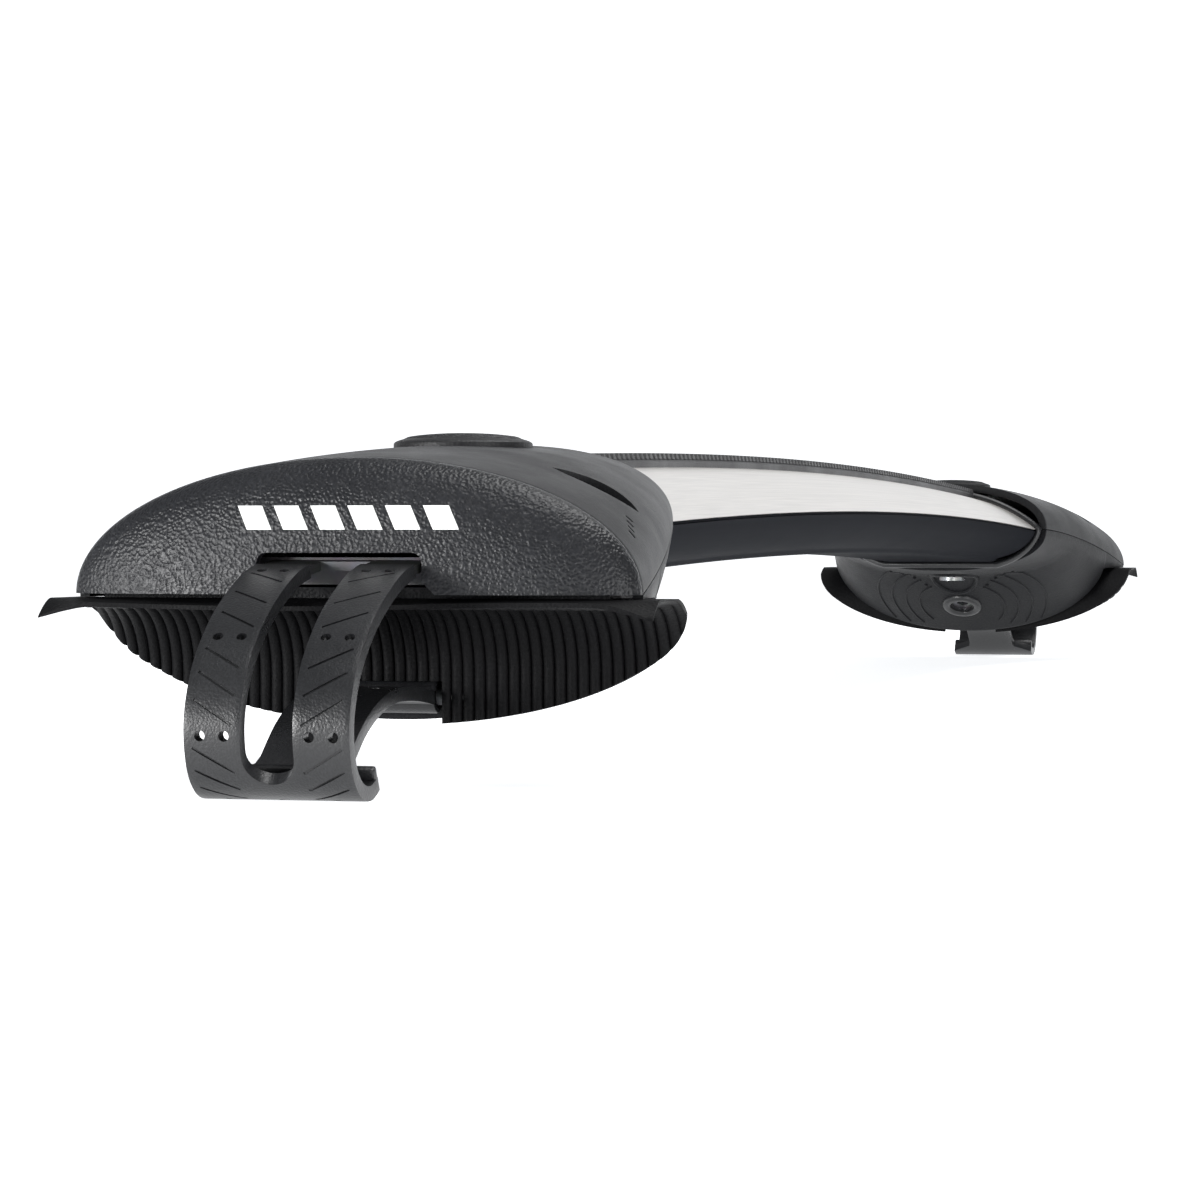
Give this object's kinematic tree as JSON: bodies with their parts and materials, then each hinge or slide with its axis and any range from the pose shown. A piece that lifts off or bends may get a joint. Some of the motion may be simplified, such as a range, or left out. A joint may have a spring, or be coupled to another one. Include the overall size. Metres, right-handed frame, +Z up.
{
  "type": "roof rack crossbar",
  "caption": "Arched wing-section roof cross bar with a ribbed rubber strip, clamped to raised rails by a covered foot and strap loop at each end.",
  "frame": {"origin": "middle of the bar, on the level that the two strap loops stand on", "axes": "+X along the bar to the right foot, +Y across the bar, along the vehicle, +Z up"},
  "size_m": [1.0334, 0.142, 0.0814],
  "materials": {
    "bar_metal": "satin silver anodised extrusion with dark lower flanks",
    "strip_rubber": "black rubber with fine slanted ribs",
    "moulded_black": "black moulded plastic, fine grain",
    "moulded_shell": "charcoal moulded plastic, fine satin grain",
    "moulded_cover": "black moulded plastic, coarse leather grain",
    "white_print": "plain white raised bars",
    "rubber_pad": "matt black rubber",
    "strap_rubber": "semi-gloss black rubber",
    "zinc_steel": "zinc-plated steel",
    "cast_block": "cast metal block",
    "chrome_lock": "polished chrome",
    "rubber_cap": "black ribbed rubber"
  },
  "bodies": {
    "bar_and_feet": {"crossbar": "bar_metal", "infill_strip": "strip_rubber", "right_foot_base": "moulded_black", "right_top_shell": "moulded_shell", "right_rail_pad": "rubber_pad", "right_strap_hooks": "zinc_steel", "right_hook_bar": "zinc_steel", "right_strap_pin": "zinc_steel", "right_screw_bush": "moulded_black", "right_lock_housing": "moulded_black", "right_blank_plug": "chrome_lock", "right_dome_cap": "rubber_cap", "right_collar_gasket": "rubber_pad", "right_bar_end_plug": "moulded_black", "right_bar_saddle": "bar_metal", "right_saddle_bolts": "zinc_steel", "right_shell_screws": "zinc_steel", "left_foot_base": "moulded_black", "left_top_shell": "moulded_shell", "left_rail_pad": "rubber_pad", "left_strap_hooks": "zinc_steel", "left_hook_bar": "zinc_steel", "left_strap_pin": "zinc_steel", "left_screw_bush": "moulded_black", "left_lock_housing": "moulded_black", "left_blank_plug": "chrome_lock", "left_dome_cap": "rubber_cap", "left_collar_gasket": "rubber_pad", "left_bar_end_plug": "moulded_black", "left_bar_saddle": "bar_metal", "left_saddle_bolts": "zinc_steel", "left_shell_screws": "zinc_steel"},
    "right_cover": {"right_end_cover": "moulded_cover", "right_cover_badge": "white_print"},
    "right_strap_loop": {"right_strap": "strap_rubber"},
    "right_screw": {"right_clamp_screw": "zinc_steel"},
    "right_block": {"right_tension_block": "cast_block"},
    "right_lock": {"right_lock_barrel": "chrome_lock", "right_lock_cam": "zinc_steel"},
    "left_cover": {"left_end_cover": "moulded_cover", "left_cover_badge": "white_print"},
    "left_strap_loop": {"left_strap": "strap_rubber"},
    "left_screw": {"left_clamp_screw": "zinc_steel"},
    "left_block": {"left_tension_block": "cast_block"},
    "left_lock": {"left_lock_barrel": "chrome_lock", "left_lock_cam": "zinc_steel"}
  },
  "joints": [
    {"name": "right_cover_slide", "type": "slide", "parent": "bar_and_feet", "child": "right_cover", "axis": [1, 0, 0], "range_m": [0, 0.012]},
    {"name": "right_strap_swing", "type": "hinge", "parent": "bar_and_feet", "child": "right_strap_loop", "pos_m": [0.427, 0, 0.01876], "axis": [0, 1, 0], "range_deg": [0, 60]},
    {"name": "right_screw_turn", "type": "hinge", "parent": "bar_and_feet", "child": "right_screw", "pos_m": [0.404, 0, 0.02509], "axis": [-0.5, 0, -0.866], "range_deg": [0, 1440]},
    {"name": "right_block_slide", "type": "slide", "parent": "bar_and_feet", "child": "right_block", "axis": [-0.5, 0, -0.866], "range_m": [0, 0.006]},
    {"name": "right_lock_turn", "type": "hinge", "parent": "bar_and_feet", "child": "right_lock", "pos_m": [0.421, -0.046, 0.06693], "axis": [0, -0.4384, 0.8988], "range_deg": [0, 90]},
    {"name": "left_cover_slide", "type": "slide", "parent": "bar_and_feet", "child": "left_cover", "axis": [-1, 0, 0], "range_m": [0, 0.012]},
    {"name": "left_strap_swing", "type": "hinge", "parent": "bar_and_feet", "child": "left_strap_loop", "pos_m": [-0.427, 0, 0.01876], "axis": [0, -1, 0], "range_deg": [0, 60]},
    {"name": "left_screw_turn", "type": "hinge", "parent": "bar_and_feet", "child": "left_screw", "pos_m": [-0.404, 0, 0.02509], "axis": [0.5, 0, -0.866], "range_deg": [0, 1440]},
    {"name": "left_block_slide", "type": "slide", "parent": "bar_and_feet", "child": "left_block", "axis": [0.5, 0, -0.866], "range_m": [0, 0.006]},
    {"name": "left_lock_turn", "type": "hinge", "parent": "bar_and_feet", "child": "left_lock", "pos_m": [-0.421, -0.046, 0.06693], "axis": [0, -0.4384, 0.8988], "range_deg": [0, 90]}
  ],
  "couplings": [
    {"joint": "right_block_slide", "follows": "right_screw_turn", "m_per_rad": 0.00023873},
    {"joint": "left_block_slide", "follows": "left_screw_turn", "m_per_rad": 0.00023873}
  ]
}
